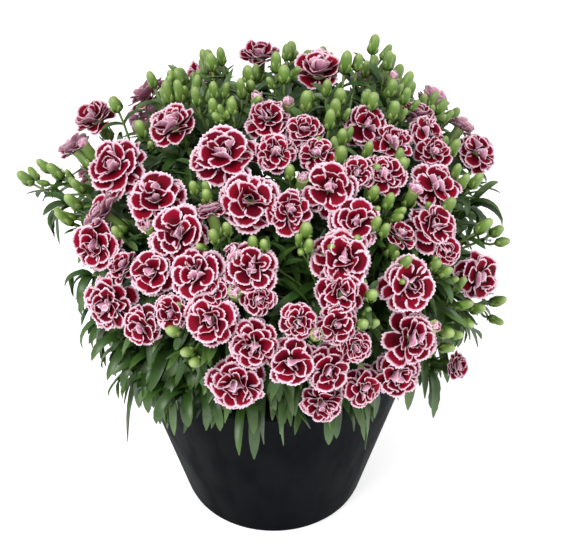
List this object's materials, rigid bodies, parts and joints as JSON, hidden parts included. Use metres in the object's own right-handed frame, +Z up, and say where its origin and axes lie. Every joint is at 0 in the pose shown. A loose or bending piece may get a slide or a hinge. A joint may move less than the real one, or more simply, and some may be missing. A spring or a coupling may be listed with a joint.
{
  "type": "potted dianthus",
  "caption": "Bushy dianthus in full flower, with double red blooms, green buds and narrow leaves, growing in a round black nursery pot.",
  "frame": {"origin": "centre of the pot's flat underside, on the surface it stands on", "axes": "+Z up along the pot's axis; the side of the plant that is seen most faces -Y, +X to its right"},
  "size_m": [0.3356, 0.3281, 0.3492],
  "materials": {
    "pot_plastic": "black, satin, lightly scuffed",
    "soil_earth": "dark crumbly peat soil",
    "leaf_green": "soft matt green leaves, stalks, calyces and buds",
    "petal_red": "velvety deep red petals with a fine white serrated edge"
  },
  "bodies": {
    "root": {"heads_01": "petal_red", "heads_02": "petal_red", "heads_03": "petal_red", "heads_04": "petal_red", "heads_05": "petal_red", "heads_06": "petal_red", "heads_07": "petal_red", "heads_08": "petal_red", "heads_09": "petal_red", "heads_10": "petal_red", "heads_11": "petal_red", "heads_12": "petal_red", "heads_13": "petal_red", "heads_14": "petal_red", "heads_15": "petal_red", "heads_16": "petal_red", "heads_17": "petal_red", "heads_18": "petal_red", "heads_19": "petal_red", "heads_20": "petal_red", "heads_21": "petal_red", "heads_22": "petal_red", "heads_23": "petal_red", "heads_24": "petal_red", "heads_25": "petal_red", "heads_26": "petal_red", "heads_27": "petal_red", "heads_28": "petal_red", "heads_29": "petal_red", "heads_30": "petal_red", "heads_31": "petal_red", "heads_32": "petal_red", "heads_33": "petal_red", "heads_34": "petal_red", "heads_35": "petal_red", "heads_36": "petal_red", "leafy_stem_01": "leaf_green", "leafy_stem_02": "leaf_green", "leafy_stem_03": "leaf_green", "leafy_stem_04": "leaf_green", "leafy_stem_05": "leaf_green", "leafy_stem_06": "leaf_green", "leafy_stem_07": "leaf_green", "leafy_stem_08": "leaf_green", "leafy_stem_09": "leaf_green", "leafy_stem_10": "leaf_green", "leafy_stem_11": "leaf_green", "leafy_stem_12": "leaf_green", "leafy_stem_13": "leaf_green", "leafy_stem_14": "leaf_green", "pot": "pot_plastic", "soil": "soil_earth"}
  },
  "joints": []
}
